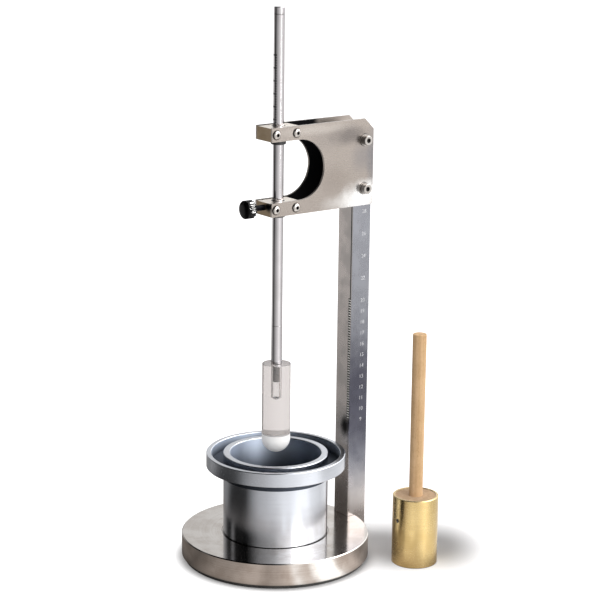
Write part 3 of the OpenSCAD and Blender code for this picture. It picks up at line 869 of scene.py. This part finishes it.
# Rod
# A thin stainless tube with a turned plug in its top and a solid end piece that carries a
# threaded stud for the plunger. A fine scale is cut into its left side below the top.

ROD_STEEL = (0.63, 0.61, 0.63)
ROD_DULL = (0.54, 0.52, 0.53)
ROD_RADIUS = 0.00475
TUBE_BOTTOM = 0.2108
PLUNGER_TOP = 0.1765
SPIGOT_RADIUS = 0.00413
SPIGOT_TOP = 0.2228
STUD_RADIUS = 0.0030
STUD_BOTTOM = 0.1610
THREAD_PITCH = 0.00075
THREAD_DEPTH = 0.00003
MARK_PITCH = 0.002175
MARK_TOP = 0.4445
MARK_COUNT = 29
MARK_PROUD = 0.00003
# Where a mark starts round the rod, short or every fifth one long, and where they end
MARK_STARTS = (-80.0, -116.0)
MARK_END = -57.0
MARK_HALVES = (0.00048, 0.00060)
MARK_INK = ((0.010, 0.010, 0.011), (0.07, 0.07, 0.07))
ROD_CHAMFER = 0.0003
STUD_CHAMFER = 0.0006
CHAMFER_DEPTH = 0.0005


def surface(name, grid, material, body, crease=35.0):
    """A piece from a grid of points, rows by columns, with the last column joined to the first.
    Points that fall together, as on a pole, are merged, and the faces are turned outwards."""
    rows, columns = grid.shape[:2]
    first = np.arange(rows - 1)[:, None] * columns
    here = np.arange(columns)[None, :]
    beside = (here + 1) % columns
    corners = (first + here, first + beside, first + columns + beside, first + columns + here)
    faces = np.stack([np.broadcast_to(c, (rows - 1, columns)) for c in corners], axis=-1).reshape(-1, 4)
    mesh = bpy.data.meshes.new(name)
    mesh.from_pydata(grid.reshape(-1, 3), [], faces)
    work = bmesh.new()
    work.from_mesh(mesh)
    bmesh.ops.remove_doubles(work, verts=work.verts, dist=1e-7)
    bmesh.ops.recalc_face_normals(work, faces=work.faces)
    work.to_mesh(mesh)
    work.free()
    return place_piece(name, mesh, material, body, crease)


def threaded_end(columns=96):
    """Rows of (radius, height) turned round the axis. On the stud the radius drops by
    depth times a sharp wave of height / pitch - angle / full turn, so the grooves climb."""
    angle = np.linspace(0, 2 * np.pi, columns, endpoint=False)
    thread = np.arange(STUD_BOTTOM, PLUNGER_TOP + 1e-9, THREAD_PITCH / 8)
    top = [(ROD_RADIUS - ROD_CHAMFER, PLUNGER_TOP), (ROD_RADIUS, PLUNGER_TOP + ROD_CHAMFER),
           (ROD_RADIUS, TUBE_BOTTOM - ROD_CHAMFER), (ROD_RADIUS - ROD_CHAMFER, TUBE_BOTTOM),
           (SPIGOT_RADIUS, TUBE_BOTTOM), (SPIGOT_RADIUS, SPIGOT_TOP), (0.0, SPIGOT_TOP)]
    radius = np.concatenate([[0.0], np.full(thread.size, STUD_RADIUS), [r for r, z in top]])
    height = np.concatenate([[STUD_BOTTOM], thread, [z for r, z in top]])
    turn = height[:, None] / THREAD_PITCH - angle[None, :] / (2 * np.pi)
    wave = 1 - np.abs(2 * (turn % 1.0) - 1)
    chamfer = np.clip((height - STUD_BOTTOM) / STUD_CHAMFER, 0, 1)[:, None]
    cut = np.zeros((height.size, columns))
    inside = slice(1, 1 + thread.size)
    cut[inside] = THREAD_DEPTH * wave[inside] + CHAMFER_DEPTH * (1 - chamfer[inside])
    around = radius[:, None] - cut
    across = np.stack([around * np.cos(angle), around * np.sin(angle)], axis=-1)
    up = np.broadcast_to(height[:, None, None], across.shape[:2] + (1,))
    return np.concatenate([across, up], axis=-1)


def rod_marks():
    """Short bars wrapped on the rod: each a patch of angle by height at radius plus a hair,
    with every fifth one longer."""
    number = np.arange(MARK_COUNT)
    longer = number % 5 == 0
    start = np.radians(np.where(longer, MARK_STARTS[1], MARK_STARTS[0]))
    end = np.radians(MARK_END)
    half = np.where(longer, MARK_HALVES[1], MARK_HALVES[0])
    along = np.linspace(0, 1, 7)
    angle = start[:, None] + (end - start[:, None]) * along[None, :]
    radius = ROD_RADIUS + MARK_PROUD
    middle = (MARK_TOP - number * MARK_PITCH)[:, None]
    rows = []
    for offset in (-1, 1):
        height = middle + offset * half[:, None] + 0 * angle
        rows.append(np.stack([radius * np.cos(angle), radius * np.sin(angle), height], axis=-1))
    return np.stack(rows, axis=1)


dress("rod_tube", metal_finish("polished_tube", ROD_STEEL, ROD_DULL, 0.07, drawn((0, 0, 1), 0.0003, 0.03),
                               line_swing=0.03, blotch_swing=0.03, line_depth=0.15))
plug_finish, end_finish = (metal_finish(name, ROD_STEEL, ROD_DULL, polish, lathe(0.0003), blotch_swing=0.03,
                                        line_depth=0.3)
                           for name, polish in (("turned_plug", 0.08), ("turned_end", 0.09)))
dress("rod_top_plug", plug_finish)
threaded = surface("rod_end_threaded", threaded_end(), end_finish, "plunger")
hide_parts("rod_end")
patches("rod_scale", rod_marks(), fill_finish("black_ink", *MARK_INK, 0.4), "plunger")


# Plunger
# A rod of clear acrylic, turned and polished, drilled down its middle for the stud, with a
# turned white plastic tip glued to its lower end.

ACRYLIC = (0.78, 0.73, 0.715)
STUD_BORE = 0.0034
TIP_WHITE = (0.88, 0.87, 0.86)
TIP_SOILED = (0.80, 0.78, 0.76)
# The faint glow of the tip: painted light
TIP_PAINTED_GLOW = (0.66, 0.65, 0.65)
GLOW_STRENGTH = 0.26
GLUE_GREY = (0.28, 0.27, 0.28)
TIP_TOP = 0.1140
# The glue's grey, from below and up to the joint, as depths under the tip's top
GLUE_START = (0.0010, 0.0006)
GLUE_STOP = (0.00005, 0.00020)


def from_axis(tree, place):
    """Distance from the rod's axis: the length of the place without its height."""
    return vector(tree, "LENGTH", vector(tree, "MULTIPLY", place, FLAT))


def acrylic_finish():
    """Clear plastic: light goes through it, and fine rubbed blotches dull its surface in places."""
    material, tree, shader, place = new_finish("clear_acrylic")
    dust = dust_on(tree, place, 0.010, 0.0005)
    rough = plus(tree, dust["Speck"], 0.03, 0.004)
    rough = plus(tree, dust["Blotch"], 0.02, rough)
    lines = use_group(tree, TURNED_LINES, {"Place": place, "Pitch": 0.0006})["Lines"]
    colour = blend(tree, fade(tree, from_axis(tree, place), STUD_BORE, STUD_BORE + 0.0005), WHITE, ACRYLIC)
    set_finish(tree, shader, Base_Color=colour, Transmission_Weight=0.92, IOR=1.49, Roughness=rough,
               Normal=relief(tree, lines, 0.06, 0.00002))
    return material


dress("plunger_body", acrylic_finish())
tip_finish = plastic_finish("white_tip", TIP_WHITE, 0.38, TIP_SOILED)
# The white plastic is given a faint glow, painted light for light soaking into it, and glue has
# greyed its top edge
tree, shader, place = parts_of(tip_finish)
depth = calc(tree, "SUBTRACT", TIP_TOP, split(tree, place)["Z"])
glued = times(tree, fade(tree, depth, *GLUE_START), fade(tree, depth, *GLUE_STOP))
tint(tip_finish, glued, 0.85, GLUE_GREY)
set_finish(tree, shader, Emission_Color=blend(tree, glued, TIP_PAINTED_GLOW, GLUE_GREY),
           Emission_Strength=GLOW_STRENGTH)
dress("plunger_tip", tip_finish)


# Clamp
# A black moulded knob with a domed head and fourteen flutes, on a blackened stud that is
# screwed through the lower block and presses a small plastic pad on the rod.

KNOB_BLACK = (0.0008, 0.0008, 0.0009)
# Lighter black of wear, and on the flute edges a painted highlight
KNOB_WEAR_AND_SHEEN = (0.0020, 0.0020, 0.0022)
KNOB_RADIUS = 0.0080
KNOB_BACK = -0.0270
KNOB_FRONT = -0.0365
KNOB_HEIGHT = 0.316
NECK_RADIUS = 0.0029
NECK_BACK = -0.0245
FLUTES = 14
FLUTE_DEPTH = 0.0010
SIDE_LENGTH = 0.0064
BACK_ROUND = 0.0006
BACK_RIM = 0.0010
NECK_CHAMFER = 0.0003
# The radius where the flutes start and how fast they deepen, and their length of fading out
FLUTE_START = 0.0056
FLUTE_GROWTH = 0.0012
FLUTE_FADE = 0.0016
DOME_BULGE = 0.6
KNOB_GLOSS = 0.10
KNOB_LAMP = ("window_behind", (0.89, 0.62, 0.64), 0.10, 0.40, 75.0)
STUD_BLACK = (0.006, 0.006, 0.007)
STUD_GREY = (0.004, 0.004, 0.005)
PAD_BLACK = (0.02, 0.02, 0.022)


def fluted_knob(columns=168):
    """A profile of radius against depth turned round the screw: neck, flat back, long side and
    low dome; round it the radius drops by flute depth times a cosine lobe, which fades out at
    the back and on the dome."""
    bend = np.linspace(0, np.pi / 2, 8)
    shoulder = KNOB_BACK - BACK_ROUND - SIDE_LENGTH
    profile = [(0.0, NECK_BACK), (NECK_RADIUS - NECK_CHAMFER, NECK_BACK),
               (NECK_RADIUS, NECK_BACK - NECK_CHAMFER), (NECK_RADIUS, KNOB_BACK + NECK_CHAMFER),
               (NECK_RADIUS + NECK_CHAMFER, KNOB_BACK),
               (KNOB_RADIUS - BACK_ROUND - BACK_RIM, KNOB_BACK)]
    profile += [(KNOB_RADIUS - BACK_ROUND * (1 - np.sin(a)), KNOB_BACK - BACK_ROUND * (1 - np.cos(a)))
                for a in bend]
    profile += [(KNOB_RADIUS, KNOB_BACK - BACK_ROUND - SIDE_LENGTH * part) for part in (0.2, 0.4, 0.6, 0.8)]
    profile += [(KNOB_RADIUS * np.cos(a) ** DOME_BULGE if a < np.pi / 2 - 1e-6 else 0.0,
                 shoulder + (KNOB_FRONT - shoulder) * np.sin(a)) for a in np.linspace(0, np.pi / 2, 18)]
    radius, depth = np.array(profile).T
    angle = np.linspace(0, 2 * np.pi, columns, endpoint=False)
    lobe = 0.5 + 0.5 * np.cos(FLUTES * angle)
    reach = np.clip((radius - FLUTE_START) / FLUTE_GROWTH, 0, 1) * (depth < KNOB_BACK + 0.00005)
    front_fade = np.clip((depth - shoulder) / FLUTE_FADE + 0.2, 0, 1)
    around = radius[:, None] - FLUTE_DEPTH * (reach * front_fade)[:, None] * lobe[None, :]
    grid = np.empty(around.shape + (3,))
    grid[..., 0] = around * np.cos(angle)
    grid[..., 1] = depth[:, None]
    grid[..., 2] = KNOB_HEIGHT + around * np.sin(angle)
    return grid


knob_finish = plastic_finish("glossy_black", KNOB_BLACK, 0.03, KNOB_WEAR_AND_SHEEN, pit=0.03)
parts_of(knob_finish)[1].inputs["Specular IOR Level"].default_value = KNOB_GLOSS
knob = surface("fluted_knob", fluted_knob(), knob_finish, "clamp_knob", crease=50.0)
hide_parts("clamp_knob")
# A narrow window behind the stand shows in the knob's flutes alone
knob_lamp = soft_lamp(*KNOB_LAMP)
knob_lamp.visible_diffuse = False
link_light(knob_lamp, knob, "INCLUDE")
dress("clamp_stud", metal_finish("blackened_stud", STUD_BLACK, STUD_GREY, 0.45,
                                 drawn((0, 1, 0), 0.0003, 0.002)))
dress("clamp_pad", plastic_finish("pad_plastic", PAD_BLACK, 0.45))


# Cup and spill ring
# A turned cup of dull light metal that is loose on the base, and a flat spill ring pressed
# round its rim, with a trough for what is struck off the cup. Both are finished satin.

SATIN = (0.56, 0.585, 0.635)
SATIN_DULL = (0.48, 0.49, 0.52)
INSIDE_BLUE = (0.44, 0.50, 0.60)
INSIDE_DARK = (0.02, 0.024, 0.035)
CUP_TOP = 0.096
CUP_BORE = 0.040
CUP_OUTSIDE = 0.046
RING_BORE = 0.0565


def satin_finish(name, polish, stretch, inner, outer, low, high):
    """Satin turned metal. The wall between two radii, which faces the hollow, is duller and
    bluer, and darkens downwards between two heights, where little light comes in."""
    material = metal_finish(name, SATIN, SATIN_DULL, polish, lathe(0.0004), blotch=0.04, stretch=stretch,
                            line_swing=0.02, blotch_swing=0.02, line_depth=0.02)
    tree, shader, place = parts_of(material)
    radius = from_axis(tree, place)
    height = split(tree, place)["Z"]
    within = times(tree, fade(tree, radius, outer + 0.00025, outer + 0.00005),
                   fade(tree, radius, inner - 0.00025, inner - 0.00005))
    hollow = times(tree, within, fade(tree, height, CUP_TOP - 0.0001, CUP_TOP - 0.0006))
    rough = shader.inputs["Roughness"].links[0].from_socket
    set_finish(tree, shader, Roughness=plus(tree, hollow, 0.34, rough))
    tint(material, hollow, 0.9, INSIDE_BLUE)
    tint(material, times(tree, hollow, fade(tree, height, high, low)), 0.9, INSIDE_DARK)
    return material


dress("cup_body", satin_finish("satin_cup", 0.17, 0.8, 0.0, CUP_BORE, 0.066, 0.095))
dress("spill_ring", satin_finish("satin_ring", 0.22, 0.6, CUP_OUTSIDE, RING_BORE, 0.0855, 0.0945))


# Tamper
# A brass tube with a closed end, filled with a wooden core, and a round beech stick glued into
# the core. A steel pin through the brass holds the core. It stands beside the base.

BRASS = (0.58, 0.445, 0.215)
BRASS_DULL = (0.44, 0.31, 0.125)
BEECH = (0.70, 0.47, 0.27)
BEECH_DARK = (0.42, 0.25, 0.11)
CORE_WOOD = (0.52, 0.36, 0.22)
CORE_DARK = (0.34, 0.21, 0.12)
TAMPER_MIDDLE = (0.083, 0.0915, 0.0)
# The pin's end, sunk in its hole, is coloured near black as painted shade
PIN_SHADE_BLACK = (0.012, 0.011, 0.010)
PIN_SHADE_GREY = (0.006, 0.006, 0.006)
# Where the pin's hole opens in the shell, and its radius
PIN_MOUTH = (0.083, 0.0715, 0.0415)
PIN_RADIUS = 0.0015


def wood_finish(name, light, dark, streak, pore):
    """Wood: broad soft streaks up the grain, short dark pores, and a slightly furred surface."""
    material, tree, shader, place = new_finish(name)
    broad = drawn((0, 0, 1), streak, 0.09)(tree, place)
    pores = drawn((0, 0, 1), pore, 0.0025)(tree, place)
    dust = dust_on(tree, place, 0.02, 0.0005)
    dark_pores = fade(tree, pores, 0.62, 0.95)
    amount = plus(tree, broad, 0.45, times(tree, dark_pores, 0.45))
    amount = plus(tree, dust["Blotch"], 0.2, amount)
    set_finish(tree, shader, Base_Color=blend(tree, amount, light, dark), Specular_IOR_Level=0.2,
               Roughness=plus(tree, broad, 0.12, 0.52), Normal=relief(tree, pores, 0.35, 0.00006))
    return material


brass = metal_finish("drawn_brass", BRASS, BRASS_DULL, 0.24, lathe(0.00025, TAMPER_MIDDLE),
                     blotch=0.02, line_swing=0.02, blotch_swing=0.05, line_depth=0.02, stretch=0.85)
# Painted shade blackens the hole's wall and mouth
tree, shader, place = parts_of(brass)
from_pin = vector(tree, "MULTIPLY", vector(tree, "SUBTRACT", place, PIN_MOUTH), (1.0, 0.1, 1.0))
mouth = fade(tree, vector(tree, "LENGTH", from_pin), PIN_RADIUS + 0.0006, PIN_RADIUS + 0.0001)
tint(brass, mouth, 0.98, PAINTED_SHADE_BLACK)
dress("tamper_shell", brass)
dress("tamper_core", wood_finish("core_wood", CORE_WOOD, CORE_DARK, 0.004, 0.0004))
dress("tamper_handle", wood_finish("beech", BEECH, BEECH_DARK, 0.003, 0.00035))
dress("tamper_pin", metal_finish("dark_pin", PIN_SHADE_BLACK, PIN_SHADE_GREY, 0.5, drawn((0, 1, 0), 0.0003, 0.002)))

# The tamper is kept out of the gloss of the base and the cup, where its gold stripe would mask
# the soft grey bands of the satin wall
for node in ("tamper_shell", "tamper_core", "tamper_handle", "tamper_pin"):
    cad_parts[node].visible_glossy = False
